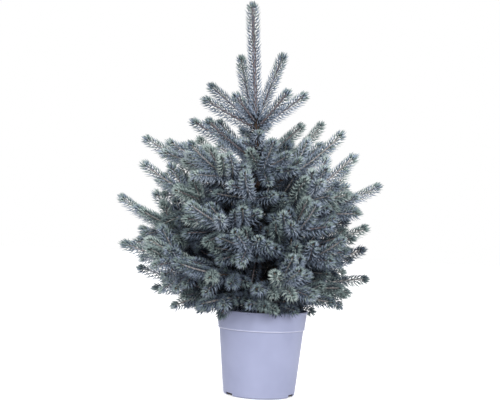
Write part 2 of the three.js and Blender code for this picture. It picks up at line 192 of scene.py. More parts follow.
WHORLS = [
    dict(name="top", height=704, stagger=7, bend=8, boughs=False, twigs=0, lifts=(20, 30),
         azimuths=(8, 58, 112, 163, 208, 230, 318),
         rises=(37, 58, 57, 37, 22, 36, 40),
         lengths=(156, 234, 244, 162, 160, 102, 134)),
    dict(name="internode", height=616, stagger=9, bend=10, boughs=False, twigs=0, lifts=(20, 30),
         azimuths=(24, 86, 150, 196, 234),
         rises=(40, 45, 41, 24, 22),
         lengths=(162, 158, 162, 188, 222)),
    dict(name="upper", height=545, stagger=16, bend=24, boughs=False, twigs=3, lifts=(8, 22),
         azimuths=(350, 46, 106, 172, 228, 282),
         rises=(36, 35, 46, 18, 22, 25),
         lengths=(268, 304, 240, 330, 276, 202)),
    dict(name="shoulder", height=472, stagger=20, bend=24, boughs=False, twigs=4, lifts=(4, 26),
         azimuths=(16, 66, 110, 152, 196, 262, 328),
         rises=(18, 28, 30, 11, 23, 17, 31),
         lengths=(356, 258, 282, 334, 344, 242, 326)),
    dict(name="middle", height=398, stagger=-22, bend=32, boughs=False, twigs=5, lifts=(2, 30),
         azimuths=(36, 84, 124, 174, 234, 298),
         rises=(17, 25, 16, 18, 12, 23),
         lengths=(334, 318, 322, 416, 306, 308)),
    dict(name="waist", height=346, stagger=-18, bend=26, boughs=False, twigs=5, lifts=(0, 32),
         azimuths=(8, 72, 150, 204, 258, 312),
         rises=(16, 16, 8, 8, 11, 16),
         lengths=(300, 318, 404, 384, 294, 308)),
    dict(name="lower", height=296, stagger=-16, bend=20, boughs=True, twigs=5, lifts=(0, 38),
         azimuths=(346, 44, 112, 176, 230, 288),
         rises=(16, 11, 7, 6, 5, 11),
         lengths=(278, 318, 314, 326, 302, 298)),
    dict(name="skirt", height=246, stagger=-7, bend=-12, boughs=False, twigs=5, lifts=(-8, -30),
         azimuths=(4, 62, 116, 186, 230, 272, 318),
         rises=(12, 3, 0, 6, -3, 2, 1),
         lengths=(278, 268, 268, 276, 224, 214, 232)),
]
limb_count = sum(len(whorl["azimuths"]) for whorl in WHORLS)
print("the tree has", limb_count, "limbs in", len(WHORLS), "whorls")

# %% [markdown]
# ## Curves
#
# A limb leaves the trunk in one direction and ends in another, as it turns towards the light. A
# quadratic Bezier curve does just that with three points, and it can be read anywhere along its
# length, so every limb and shoot here is one.

# %% Curves and directions
UP = np.array((0.0, 0.0, 1.0))


def lerp(start, end, share):
    return start + (end - start) * share


def unit(vectors):
    return vectors / np.linalg.norm(vectors, axis=-1, keepdims=True)


def direction(azimuth, rise):
    a, r = math.radians(azimuth), math.radians(rise)
    return np.array((math.cos(a) * math.cos(r), math.sin(a) * math.cos(r), math.sin(r)))


def bent_curve(foot, start, end, length):
    """The three points of a curve that leaves foot along start and ends along end."""
    bend = foot + start * (length / 2)
    return np.array((foot, bend, bend + end * (length / 2)))


def straight_curve(foot, tip):
    return np.array((foot, (foot + tip) / 2, tip))


def points_on(curve, shares):
    t = np.atleast_1d(shares)[:, None]
    return curve[0] * (1 - t) ** 2 + curve[1] * 2 * t * (1 - t) + curve[2] * t ** 2


def frames_on(curve, shares):
    """Along, right and up across the curve at each share."""
    t = np.atleast_1d(shares)[:, None]
    along = unit((curve[1] - curve[0]) * (1 - t) + (curve[2] - curve[1]) * t)
    right = np.cross(along, UP)
    right[np.linalg.norm(right, axis=1) < 0.01] = (0.0, 1.0, 0.0)
    right = unit(right)
    return along, right, np.cross(right, along)


def trunk_axis(height):
    share = (height - SOIL["crown"]) / (TRUNK["top"] - SOIL["crown"])
    x = -math.tan(math.radians(TRUNK["lean"])) * (height - SOIL["crown"])
    return np.array((x, TRUNK["bow"] * math.sin(math.pi * share), height))


def trunk_radius(height):
    above = height - SOIL["crown"]
    share = min(max(above / (TRUNK["top"] - SOIL["crown"]), 0), 1)
    stem = lerp(TRUNK["tip_radius"], TRUNK["foot_radius"], (1 - share) ** TRUNK["taper_power"])
    return stem + TRUNK["flare"] * math.exp(-above / TRUNK["flare_height"])


print("the trunk's tip stands", round(-trunk_axis(TRUNK["top"])[0]), "mm to the left of its foot")

# %% [markdown]
# ## What has grown so far
#
# Twigs keep out of each other's way, because a bud in deep shade doesn't grow. So every new shoot
# is compared with all the shoots so far. They are kept as short straight pieces, and the distance
# from a point to all of them is then one sum over arrays.

# %% Lines grown so far
class GrownLines:
    """Every limb and shoot so far, as straight pieces, with who owns each."""

    def __init__(self, most=30000):
        self.foot, self.way = np.zeros((most, 3)), np.zeros((most, 3))
        self.owner = np.empty(most, dtype="U24")
        self.bare = np.zeros(most, dtype=bool)
        self.count = 0

    def add(self, owner, curve, start, end, pieces, bare=False):
        ends = points_on(curve, np.linspace(start, end, pieces + 1))
        rows = slice(self.count, self.count + pieces)
        self.foot[rows], self.way[rows] = ends[:-1], ends[1:] - ends[:-1]
        self.owner[rows], self.bare[rows] = owner, bare
        self.count += pieces

    def distances(self, point):
        foot, way = self.foot[:self.count], self.way[:self.count]
        share = np.einsum("ij,ij->i", point - foot, way) / np.einsum("ij,ij->i", way, way)
        nearest = foot + way * np.clip(share, 0, 1)[:, None]
        return np.linalg.norm(point - nearest, axis=1)


PIECES = dict(trunk=14, leader=4, bough=3, limb=7, twig=4, fine=3)  # straight pieces of each
lines = GrownLines()
trunk_step = (LEADER_FOOT - SOIL["crown"]) / PIECES["trunk"]
for height in np.arange(SOIL["crown"], LEADER_FOOT - 1, trunk_step):
    trunk_piece = straight_curve(trunk_axis(height), trunk_axis(height + trunk_step))
    lines.add("trunk", trunk_piece, 0, 1, 1, bare=True)
leader_line = straight_curve(trunk_axis(LEADER_FOOT), trunk_axis(TRUNK["top"]))
lines.add("leader", leader_line, 0, 1, PIECES["leader"])
print("trunk and leader are", lines.count, "straight pieces")

# %% [markdown]
# ## Limbs
#
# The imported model's limbs came from a small seeded generator, so repeating its draws in the same
# order gives the very same limbs. Each limb swings round a little, either way, and rises or sags
# along its length by its whorl's bend.

# %% Limbs
def seeded_draws(seed):
    """A small seeded generator, so that the tree is the same each time."""
    state = (seed * 2654435761 + 12345) % 2 ** 32

    def draw():
        nonlocal state
        state = (state * 1664525 + 1013904223) % 2 ** 32
        return state / 2 ** 32
    return draw


def plan_limbs():
    limbs = []
    for number, whorl in enumerate(WHORLS):
        for i, (azimuth, rise, length) in enumerate(
                zip(whorl["azimuths"], whorl["rises"], whorl["lengths"])):
            draw = seeded_draws(100 * (number + 1) + i)
            height = whorl["height"] + whorl["stagger"] * (1 if i % 2 else -1)
            turn = lerp(-LIMB_TURN, LIMB_TURN, draw())
            curve = bent_curve(trunk_axis(height),
                               direction(azimuth - turn, rise - whorl["bend"] / 2),
                               direction(azimuth + turn, rise + whorl["bend"] / 2), length)
            limbs.append(dict(whorl=whorl, draw=draw, curve=curve, length=length, height=height,
                              label=f"{whorl['name']}_{i + 1}", twigs=[],
                              bare=BARE_SHARE if whorl["boughs"] else 0))
    return limbs


limbs = plan_limbs()
for limb in limbs:
    if limb["bare"]:
        lines.add("bough_" + limb["label"], limb["curve"], 0, limb["bare"], PIECES["bough"],
                  bare=True)
    lines.add(limb["label"], limb["curve"], limb["bare"], 1, PIECES["limb"])
print(len(limbs), "limbs,", round(sum(limb["length"] for limb in limbs) / 1000, 1), "m in all")

# %% [markdown]
# ## Room for a shoot
#
# A shoot may not dip into the pot, nor come close to another limb's shoots, nor crowd its own
# limb's. Here and there the sky shows between two limbs, and one shoot would close that gap, so a
# short list of open places is kept free as well.

# %% Room for a shoot
OPEN_PLACES = (  # x, y, z and radius of the gaps between limbs where no side shoot grows
    (-261, 41, 673, 30), (-213, -28, 663, 30), (-226, 120, 663, 40), (-110, 106, 660, 35),
    (39, 133, 706, 28), (45, 180, 703, 32), (118, 150, 729, 30), (134, 105, 695, 30),
    (140, -20, 672, 40), (112, -84, 644, 30), (177, -32, 635, 30), (207, -77, 563, 30),
    (260, 20, 546, 30), (276, 84, 502, 25), (-294, -6, 536, 30), (-326, 70, 483, 28),
    (-257, 16, 228, 30), (1, -166, 218, 24), (117, -111, 212, 25))


def in_pot(point):
    radius = math.hypot(point[0], point[1])
    top = SOIL["crown"] if radius < POT["rim_radius"] - POT["rim_room"] else POT["height"]
    return radius < POT["rim_radius"] + POT["keep_out"] and point[2] < top + POT["keep_out"]


def has_room(owner, curve, foreign_room, own_room, rim_room):
    """Whether a shoot of this owner keeps clear of pot, open places and other shoots."""
    for share in (0.2, 0.4, 0.6, 0.8, 1.0):
        point = points_on(curve, share)[0]
        if in_pot(point) or in_pot(point - UP * rim_room):
            return False
        if any(math.dist(point, place[:3]) < place[3] for place in OPEN_PLACES):
            return False
        distance = lines.distances(point)
        own = lines.owner[:lines.count] == owner
        if np.any(distance[~own] < foreign_room):
            return False
        own_shoots = own & ~lines.bare[:lines.count]
        if share > 0.5 and np.any(distance[own_shoots] < own_room):  # its foot is always near
            return False
    return True


print(len(OPEN_PLACES), "open places are kept free")

# %% [markdown]
# ## First side shoots
#
# Each limb's side shoots are tried in turn, in pairs and with one on top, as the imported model
# tried them. One that finds no room is tried once more, shorter, and then dropped.

# %% First side shoots
TWIG_PLACES = ((0.38, -1), (0.38, 1), (0.5, 0), (0.62, 1), (0.64, -1))  # share of the limb, side
TWIG_LENGTH_SHARE = 0.66
TWIG_SPREAD, TWIG_TIP_SPREAD, TWIG_WOBBLE = 52, 28, 16
TWIG_REACH = (0.9, 1.15)
TWIG_SHORTER = 0.75
FIRST_ROOM = dict(foreign_room=32, own_room=15, rim_room=10)


def side_shoot(parent, share, turn, length, lift, spread=TWIG_SPREAD, tip_spread=TWIG_TIP_SPREAD):
    """The curve of a shoot that leaves its parent to the left (-1), the right (1) or amid (0)."""
    along, right, _ = (axis[0] for axis in frames_on(parent, share))

    def way(angle):
        a, b = math.radians(angle * abs(turn)), math.radians(lift)
        flat = along * math.cos(a) + right * math.copysign(math.sin(a), turn)
        return unit(flat * math.cos(b) + UP * math.sin(b))
    return bent_curve(points_on(parent, share)[0], way(spread), way(tip_spread), length)


def plan_twigs(limb):
    """Grows the limb's first side shoots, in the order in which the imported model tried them."""
    lifts = limb["whorl"]["lifts"]
    for share, side in TWIG_PLACES[:limb["whorl"]["twigs"]]:
        wobble = lerp(-TWIG_WOBBLE, TWIG_WOBBLE, limb["draw"]())
        reach = lerp(*TWIG_REACH, limb["draw"]())
        lift = lifts[0 if side else 1] + wobble
        for shorter in (1, TWIG_SHORTER):
            length = limb["length"] * (1 - share) * TWIG_LENGTH_SHARE * reach * shorter
            curve = side_shoot(limb["curve"], share, side, length, lift)
            if has_room(limb["label"], curve, **FIRST_ROOM):
                limb["twigs"].append(dict(curve=curve, length=length))
                lines.add(limb["label"], curve, 0, 1, PIECES["twig"])
                break


for limb in limbs:
    plan_twigs(limb)
print(len(limbs), "limbs carry", sum(len(limb["twigs"]) for limb in limbs), "first side shoots")

# %% [markdown]
# ## Finer shoots
#
# A limb is not bare between its first side shoots. Shorter ones leave it to the left, to the
# right, above and below, and the stronger side shoots branch again. They follow the same rule as
# the first ones: swing forward, lift a little, stop short where there is no room. A last round
# tries short shoots in what is still empty. The end of every limb is this year's growth, which
# has not branched yet, so it stays a single brush. Each finer shoot is shorter than what is left
# of its parent, so the crown keeps its outline and the open places stay open.

# %% Grow the finer shoots
FINE_TURNS = ((-1, 0), (1, 0), (0, 42), (1, -8), (-1, -8), (0, -34))  # side, extra lift
FINE_ON_LIMB = dict(first=34, gap=22, unbranched=98, share=0.7, longest=130, shortest=60)
FINE_ON_TWIG = dict(first=30, gap=24, unbranched=70, share=0.66, longest=84, shortest=48)
FILLING_GAPS = dict(first=26, gap=20, unbranched=46, share=0.7, longest=72, shortest=44)
FINE_ROOM = dict(foreign_room=20, own_room=16, rim_room=7)
FINE_SPREAD, FINE_TIP_SPREAD = 56, 30


def grow_fine(limb, parent, length, rule, from_share=0.0):
    """Side shoots along one curve, by one of the three rules above."""
    draw, grown = limb["draw"], []
    place = max(rule["first"], from_share * length + 10)
    turn_number = int(draw() * len(FINE_TURNS))
    while place < length - rule["unbranched"]:
        side, extra_lift = FINE_TURNS[turn_number % len(FINE_TURNS)]
        turn_number += 1
        lift = limb["whorl"]["lifts"][0] + extra_lift + lerp(-TWIG_WOBBLE, TWIG_WOBBLE, draw())
        size = min((length - place) * rule["share"], rule["longest"]) * lerp(0.82, 1.12, draw())
        for shorter in (1, TWIG_SHORTER, TWIG_SHORTER ** 2):
            if size * shorter < rule["shortest"]:
                break
            curve = side_shoot(parent, place / length, side, size * shorter, lift,
                               FINE_SPREAD, FINE_TIP_SPREAD)
            if has_room(limb["label"], curve, **FINE_ROOM):
                grown.append(dict(curve=curve, length=size * shorter))
                lines.add(limb["label"], curve, 0, 1, PIECES["fine"])
                break
        place += rule["gap"] * lerp(0.85, 1.15, draw())
    return grown


for limb in limbs:
    branched = limb["whorl"]["twigs"] > 0
    limb["fine"] = (grow_fine(limb, limb["curve"], limb["length"], FINE_ON_LIMB, limb["bare"])
                    if branched else [])
for rule, branching_length in ((FINE_ON_TWIG, 80), (FILLING_GAPS, 90)):
    for limb in limbs:
        strong = [fine for fine in limb["fine"] if fine["length"] > branching_length]
        for parent in limb["twigs"] + strong:
            limb["fine"] += grow_fine(limb, parent["curve"], parent["length"], rule)
fine_lengths = [fine["length"] for limb in limbs for fine in limb["fine"]]
print(len(fine_lengths), "finer shoots,", round(sum(fine_lengths) / 1000, 1), "m in all")

# %% [markdown]
# ## Leader and trunk
#
# The leader, which is this year's growth of the trunk, is a tall single brush. Further down the
# trunk bears short weak shoots between its whorls. The lower ones stand in the shade and close
# the inside of the crown. Each is turned by the golden angle from the last, to face all sides.

# %% Leader, and short shoots on the trunk
leader_foot, leader_top = trunk_axis(LEADER_FOOT), trunk_axis(TRUNK["top"] + TRUNK["bud_length"])
leader = dict(whorl=dict(name="leader"), curve=straight_curve(leader_foot, leader_top))

TRUNK_SHOOTS = (  # up to the upper whorl, and from there to the top one
    dict(heights=(226, 566), gap=11, rise=(-6, 34), length=(64, 104), light=0.0),
    dict(heights=(580, 690), gap=9.5, rise=(2, 30), length=(44, 68), light=1.0))
GOLDEN_ANGLE = 137.5

draw = seeded_draws(31)
trunk_shoots = dict(whorl=dict(name="internode"), twigs=[], fine=[])
azimuth = 262
for rule in TRUNK_SHOOTS:
    for height in np.arange(*rule["heights"], rule["gap"]):
        azimuth += GOLDEN_ANGLE
        rise, length = lerp(*rule["rise"], draw()), lerp(*rule["length"], draw())
        curve = bent_curve(trunk_axis(height), direction(azimuth, rise - 10),
                           direction(azimuth, rise + 10), length)
        trunk_shoots["fine"].append(dict(curve=curve, length=length, light=rule["light"]))
print(len(trunk_shoots["fine"]), "short shoots stand on the trunk itself")

# %% [markdown]
# ## One list of shoots
#
# Needles, stems and buds all want the same facts about a shoot: its curve, its thickness, where
# its needles begin and how thickly they stand. So every limb, twig and finer shoot becomes one
# entry of a list. Spruce needles drop after some years, so the inner part of a limb is bare wood.
# A shoot that would hang over the pot's wall is cut short.
# The leader and the limbs of the two topmost rows bear one needle more in each tier.

# %% Thickness and length of a shoot
YOUNG_LENGTH = 150  # of a limb's outer end, where the bark is still smooth
BARE_LIMB = 44  # of a limb next to the trunk
LOWEST_TIP = 212  # shoots that hang lower are cut off here, so that they leave the pot free
TRUNK_NEEDLES_FROM = 560  # the trunk keeps its needles for two years
LIMB_TIP_RADIUS, LEADER_RADII, TWIG_RADII, FINE_RADII = 1.8, (5.4, 4.2), (2.4, 1.7), (1.7, 1.2)
YOUNG_LIMB_THICKER = 1.35  # at its tip


def limb_radius(limb, share):
    foot = limb["length"] * BOUGH_FOOT_PER_LENGTH + 0.6
    if share < BARE_SHARE:
        return lerp(foot, BOUGH_TIP_RADIUS, share / BARE_SHARE)
    return lerp(BOUGH_TIP_RADIUS, LIMB_TIP_RADIUS, (share - BARE_SHARE) / (1 - BARE_SHARE))


def cut_above(curve, height):
    """The part of a curve before it sinks below a height, and its share of the length."""
    shares = np.linspace(0, 1, 101)
    low = points_on(curve, shares)[:, 2] < height
    share = shares[np.argmax(low)] if low.any() else 1.0
    return np.array((curve[0], lerp(curve[0], curve[1], share), points_on(curve, share)[0])), share


print("radii of a limb in mm:", [round(limb_radius(limbs[-1], share), 1) for share in (0, 0.5, 1)])

# %% [markdown]
# A shoot's habit is how its needles stand. Most shoots have the usual one, and the older limbs,
# the young limbs, the leader and the trunk differ from it in a few values each.

# %% List every shoot
# order: 0 limb or leader, 1 first side shoot, 2 finer shoot, 3 trunk; bare: length of the foot
# without needles; density: tiers of needles in each usual gap; tier: needles in a tier; parting:
# how far round the shoot they reach; spread: their angle at its foot and at its tip; light: the
# exposure, where it isn't worked out from the place.
USUAL = dict(density=1.0, parting=0.93, spread=(66, 46), light=None, tier=9)
OLD_LIMB = dict(parting=0.95, spread=(61, 44))
YOUNG_LIMB = dict(density=1.05, parting=1.0, spread=(57, 46), light=0.8, tier=10)
LEADER_BRUSH = dict(density=0.96, parting=1.0, spread=(48, 54), light=0.74, tier=10)
TRUNK_BRUSH = dict(density=1.6, parting=1.0, light=0.3)


def add_shoot(owner, curve, length, radii, bare, order, **habit):
    curve, kept = cut_above(curve, LOWEST_TIP)
    shoots.append(dict(USUAL, whorl=owner["whorl"]["name"], curve=curve, length=length * kept,
                       radii=radii, bare=bare, order=order, **habit))


shoots = []
for limb in limbs:
    young = limb["whorl"]["twigs"] == 0
    bare = trunk_radius(limb["height"]) + 3 if young else max(BARE_LIMB, limb["bare"] * limb["length"])
    radii = (limb_radius(limb, 0.3), LIMB_TIP_RADIUS * (YOUNG_LIMB_THICKER if young else 1))
    add_shoot(limb, limb["curve"], limb["length"], radii, bare, 0,
              **(YOUNG_LIMB if young else OLD_LIMB))
for owner in [*limbs, trunk_shoots]:
    for twig in owner["twigs"]:
        add_shoot(owner, twig["curve"], twig["length"], TWIG_RADII, 8, 1, density=1.1)
    for fine in owner["fine"]:
        add_shoot(owner, fine["curve"], fine["length"], FINE_RADII, 6, 2, density=1.15,
                  light=fine.get("light"))
add_shoot(leader, leader["curve"], float(np.linalg.norm(leader_top - leader_foot)), LEADER_RADII,
          0, 0, **LEADER_BRUSH)
add_shoot(leader, straight_curve(trunk_axis(TRUNK_NEEDLES_FROM), leader_foot),
          LEADER_FOOT - TRUNK_NEEDLES_FROM,
          (trunk_radius(TRUNK_NEEDLES_FROM), trunk_radius(LEADER_FOOT)), 0, 3, **TRUNK_BRUSH)
print(len(shoots), "shoots,", round(sum(shoot["length"] for shoot in shoots) / 1000, 1), "m in all")

# %% [markdown]
# ## Joining many small things
#
# There are about ninety thousand needles, so they cannot be objects of their own, nor be made
# one by one with operators. Each is a few points and triangles worked out in arrays, and a heap
# joins them into one mesh. Every triangle carries the number of its finish.

# %% A heap of small closed meshes
class Heap:
    def __init__(self):
        self.points, self.faces, self.finish, self.count = [], [], [], 0

    def add(self, points, faces, finish=0):
        """points (n, 3) in millimetres and faces (m, 3) that number them from 0."""
        self.points.append(points)
        self.faces.append(faces + self.count)
        self.finish.append(np.broadcast_to(finish, len(faces)))
        self.count += len(points)

    def piece(self, name, materials):
        points, faces = np.concatenate(self.points) * MM, np.concatenate(self.faces)
        mesh = bpy.data.meshes.new(name)
        mesh.vertices.add(len(points))
        mesh.vertices.foreach_set("co", points.astype(np.float32).ravel())
        mesh.loops.add(faces.size)
        mesh.loops.foreach_set("vertex_index", faces.astype(np.int32).ravel())
        mesh.polygons.add(len(faces))
        mesh.polygons.foreach_set("loop_start", np.arange(0, faces.size, 3, dtype=np.int32))
        for material in materials:
            mesh.materials.append(material)
        finishes = np.concatenate(self.finish).astype(np.int32)
        mesh.polygons.foreach_set("material_index", finishes)
        mesh.update(calc_edges=True)
        mesh.shade_smooth()
        piece = bpy.data.objects.new(name, mesh)
        bpy.context.collection.objects.link(piece)
        print(name, "has", len(faces), "triangles")
        return piece


print("the needles of", len(shoots), "shoots will make", len(WHORLS) + 1, "heaps")

# %% [markdown]
# Stems and buds are round and taper. A ring of points is worked out at each of a few places along
# the curve, neighbouring rings are joined by triangles, and a fan closes each end.

# %% Tubes for the heap
def rings_to_tube(rings, tip):
    """Points and faces of a closed tube through rings (n, sides, 3) that ends in one point."""
    count, sides, _ = rings.shape
    points = np.concatenate((rings.reshape(-1, 3), rings[0].mean(0)[None], tip[None]))
    near = np.arange(count - 1)[:, None] * sides + np.arange(sides)
    far = near + sides
    turned = np.roll(np.arange(sides), -1)
    near_next, far_next = near[:, turned], far[:, turned]
    skin = np.stack((near, near_next, far, far, near_next, far_next), -1).reshape(-1, 3)
    side = np.arange(sides)
    foot_cap = np.stack((np.roll(side, -1), side, np.full(sides, count * sides)), -1)
    last = side + (count - 1) * sides
    tip_cap = np.stack((last, np.roll(last, -1), np.full(sides, count * sides + 1)), -1)
    return points, np.concatenate((skin, foot_cap, tip_cap))


def tube(curve, start, end, rings, sides, radii):
    """A tapering round stem along part of a curve, closed by a point 1 mm long."""
    shares = np.linspace(start, end, rings)
    centres = points_on(curve, shares)
    along, right, up = frames_on(curve, shares)
    angle = np.arange(sides) * 2 * math.pi / sides
    radius = np.linspace(radii[0], radii[1], rings)[:, None, None]
    across = (right[:, None] * np.cos(angle)[None, :, None]
              + up[:, None] * np.sin(angle)[None, :, None])
    return rings_to_tube(centres[:, None] + across * radius, centres[-1] + along[-1])


_, leader_skin = tube(leader["curve"], 0, 1, 12, 6, LEADER_RADII)
print("a tube of 12 rings with 6 sides has", len(leader_skin), "triangles")

# %% [markdown]
# ## Needle finishes
#
# Blue spruce needles are green underneath a bloom of pale wax. The bloom is thickest on this year's
# growth and wears off with age, so outer shoots are silvery blue and inner ones a dull deep green.
# Towards the trunk the steps are also darkened as painted shade, down to a near-black green that is
# painted shade for the inside of the crown. The finishes form two families, blue and sage, with steps
# from pale to dark. A shoot is dealt its family and its step, and most of its needles keep to them or
# to a neighbouring step.

# %% Tones of the needles
# The last tones, down to the near-black one, are painted shade for the inside of the crown, besides
# the duller green of older needles.
NEEDLE_TONES = {  # two tones of each, in steps from the most bloomed to the oldest
    "blue_pale": ((190, 201, 216), (166, 178, 194)),
    "blue_light": ((154, 167, 186), (130, 144, 163)),
    "blue_middle": ((115, 129, 147), (93, 107, 124)),
    "blue_dark": ((76, 88, 104), (57, 67, 82)),
    "sage_pale": ((192, 205, 202), (168, 182, 178)),
    "sage_light": ((152, 168, 166), (128, 145, 143)),
    "sage_middle": ((112, 128, 130), (90, 105, 107)),
    "shade_deep_green": ((34, 40, 43), (17, 21, 24)),
}
FAMILIES = np.array(((0, 1, 2, 3, 7, 7), (4, 5, 6, 3, 7, 7)))  # each step's finish, blue and sage
print(len(NEEDLE_TONES), "finishes in", len(FAMILIES), "families of", FAMILIES.shape[1], "steps")

# %% [markdown]
# A finish on a grown or used thing is never even. One helper mottles the tree's finishes and the
# pot's: noise carries the plain base colour to a second tone and the roughness between two
# values, and lifts a fine relief where that is asked for. It reads Object coordinates, so the
# mottle stays on its piece.

# %% Mottle the needle finishes
def mottled(material, second_colour, scale, detail=3.0, low=0.35, high=0.65, roughness=None,
            bump=0.0, bump_scale=None, bump_distance=0.0002):
    """Carries the base colour to a second tone, and roughness between two values, by noise."""
    nodes, links = material.node_tree.nodes, material.node_tree.links
    shader = nodes["Principled BSDF"]
    first_colour = tuple(shader.inputs["Base Color"].default_value)
    place = nodes.new("ShaderNodeTexCoord")
    grain = nodes.new("ShaderNodeTexNoise")
    grain.inputs["Scale"].default_value = scale
    grain.inputs["Detail"].default_value = detail
    links.new(place.outputs["Object"], grain.inputs["Vector"])
    tones = nodes.new("ShaderNodeValToRGB")
    tones.color_ramp.elements[0].position = low
    tones.color_ramp.elements[0].color = first_colour
    tones.color_ramp.elements[1].position = high
    tones.color_ramp.elements[1].color = (*second_colour, 1)
    links.new(grain.outputs["Fac"], tones.inputs["Fac"])
    links.new(tones.outputs["Color"], shader.inputs["Base Color"])
    if roughness:
        spread = nodes.new("ShaderNodeMapRange")
        spread.inputs["To Min"].default_value, spread.inputs["To Max"].default_value = roughness
        links.new(grain.outputs["Fac"], spread.inputs["Value"])
        links.new(spread.outputs["Result"], shader.inputs["Roughness"])
    if bump:
        relief = nodes.new("ShaderNodeTexNoise")
        relief.inputs["Scale"].default_value = bump_scale or scale
        relief.inputs["Detail"].default_value = 4.0
        links.new(place.outputs["Object"], relief.inputs["Vector"])
        lift = nodes.new("ShaderNodeBump")
        lift.inputs["Strength"].default_value = bump
        lift.inputs["Distance"].default_value = bump_distance
        links.new(relief.outputs["Fac"], lift.inputs["Height"])
        links.new(lift.outputs["Normal"], shader.inputs["Normal"])
    return material


needle_finishes = [
    mottled(new_material(f"needle_{name}", linear(*pair[0]), 0.5, Specular_IOR_Level=0.35),
            linear(*pair[1]), scale=160, roughness=(0.42, 0.68))
    for name, pair in NEEDLE_TONES.items()]
print(len(needle_finishes), "needle finishes:", ", ".join(NEEDLE_TONES))

# %% [markdown]
# ## Tones by place
#
# How pale a shoot is goes by its place: its tip is compared with the reach of the crown at that
# height, so that the tones darken from the outside to the trunk. Part of that is the wax wearing off
# with age, and part is painted shade inside the crown. Along the shoot the needles then differ by
# about half a step, and from its upper side to its underside by nearly one. A side shoot's foot is
# darker as painted shade, and so is the foot half of every needle.

# %% Deal the tones
CROWN_REACH = ((200, 300, 400, 500, 600, 700, 800, 1000), (255, 330, 352, 300, 168, 74, 55, 40))
CROWN_DEPTH_SHARE = 0.84  # the crown is a little less deep than wide
# Low exposure gives dark steps: duller older needles, and painted shade inside the crown.
TONE_BY_EXPOSURE = ((0.0, 0.40, 0.58, 0.72, 0.86, 1.0), (4.4, 3.7, 2.55, 1.35, 0.75, 0.45))
TONE_NOISE = 0.28  # of a step, for each shoot and again for each needle
# A side shoot's needles are darker at its foot and paler at its tip: painted shade where the foot sits
# deeper in the crown.
LIMB_DARKER, SHOOT_DARKER = (0.1, 0.5), (0.3, -0.2)  # steps at the foot and at the tip
UNDERSIDE_PALER = 0.42  # steps, where the needles show their pale lines
SAGE_SHARE, YOUNG_SAGE_SHARE = 0.34, 0.14  # of the shoots, besides the tips of the others
SAGE_TIPS, FEWER_BELOW = 0.7, 0.3  # of the needles at a shoot's tip


def exposure(shoot):
    """From 0 by the trunk to 1 at the outside of the crown."""
    if shoot["light"] is not None:
        return shoot["light"]
    tip = points_on(shoot["curve"], 0.85)[0]
    out = (tip[:2] - trunk_axis(tip[2])[:2]) / (1, CROWN_DEPTH_SHARE)
    return min(float(np.linalg.norm(out)) / np.interp(tip[2], *CROWN_REACH), 1.0)


def tones_of(shoot, share, under, random):
    """Deals each needle a tone step and a family, by its shoot and its place on it."""
    step = np.interp(exposure(shoot), *TONE_BY_EXPOSURE) + random.normal(0, TONE_NOISE)
    darker = LIMB_DARKER if shoot["order"] == 0 else SHOOT_DARKER
    steps = step + lerp(*darker, share ** 1.3) - UNDERSIDE_PALER * under
    steps += random.normal(0, TONE_NOISE, len(share))
    sage = random.uniform() < (SAGE_SHARE if shoot["light"] is None else YOUNG_SAGE_SHARE)
    sage_tips = SAGE_TIPS * share ** 3 - FEWER_BELOW * under
    families = np.where(random.uniform(0, 1, len(share)) < sage_tips, 1, int(sage))
    return np.clip(np.rint(steps), 0, 4).astype(int), families


print("the mean exposure is", round(float(np.mean([exposure(shoot) for shoot in shoots])), 2))

# %% [markdown]
# ## Needles
#
# The needles stand in tiers, each turned by half a step from the one below, which leaves the
# gaps that make a spruce shoot look combed. Those on the underside are a little longer, and those
# near the bare foot and the tip are shorter. At the very end a denser tuft closes the shoot.

# %% Place the needles
NEEDLE = dict(length=26, radius=1.5, droop=10, bend=14, tier_gap=8.0, bent_at=0.45,
              lengths=(0.9, 1.06), longer_below=0.16, turn_noise=0.12, spread_noise=1.6)
FIRST_NEEDLES, LAST_NEEDLES = ((0, 14), (0.72, 1.0)), ((0, 24), (0.74, 1.0))  # shorter near the ends
TUFT = dict(count=34, depth=7, spread=(66, 6), lengths=(0.66, 0.82))
NEEDLE_SEED = 20


def needle_places(shoot, random):
    """Each needle's share of the shoot, and how deep the needles of the tuft sit, from 0 to 1."""
    reach = shoot["length"] - shoot["bare"]
    tiers = max(2, int(reach / NEEDLE["tier_gap"] * shoot["density"]))
    tier = np.repeat(np.arange(tiers), shoot["tier"])
    place = (tier + random.uniform(0.42, 0.58, len(tier))) / tiers
    tuft = random.uniform(0.0, 1.0, TUFT["count"])
    from_bare = np.concatenate((reach * place, reach - TUFT["depth"] * tuft))
    return (shoot["bare"] + from_bare) / shoot["length"], tuft


def needle_turns(shoot, along, random):
    """How far round the shoot each needle stands, in radians, with 0 on its upper side."""
    number = np.arange(len(along))
    step = 2 * math.pi / shoot["tier"]
    around = (number + number // shoot["tier"] * 0.5) * step
    around += random.uniform(0, step)
    around += random.uniform(-NEEDLE["turn_noise"], NEEDLE["turn_noise"], len(along))
    around = around % (2 * math.pi) - math.pi
    return around * lerp(shoot["parting"], 1.0, np.abs(along[:, 2]) ** 4)


def needle_lengths(shoot, share, under, tuft, random):
    in_tuft = slice(len(share) - len(tuft), None)
    in_tiers = slice(0, len(share) - len(tuft))
    length = NEEDLE["length"] * random.uniform(*NEEDLE["lengths"], len(share))
    length *= 1 + NEEDLE["longer_below"] * under
    length *= np.interp(share * shoot["length"] - shoot["bare"], *FIRST_NEEDLES)
    length[in_tiers] *= np.interp((1 - share[in_tiers]) * shoot["length"], *LAST_NEEDLES)
    length[in_tuft] *= random.uniform(*TUFT["lengths"], len(tuft))
    return length


longest = max(shoots, key=lambda shoot: shoot["length"])
longest_places, _ = needle_places(longest, np.random.default_rng(NEEDLE_SEED))
print("the longest shoot bears", len(longest_places), "needles")

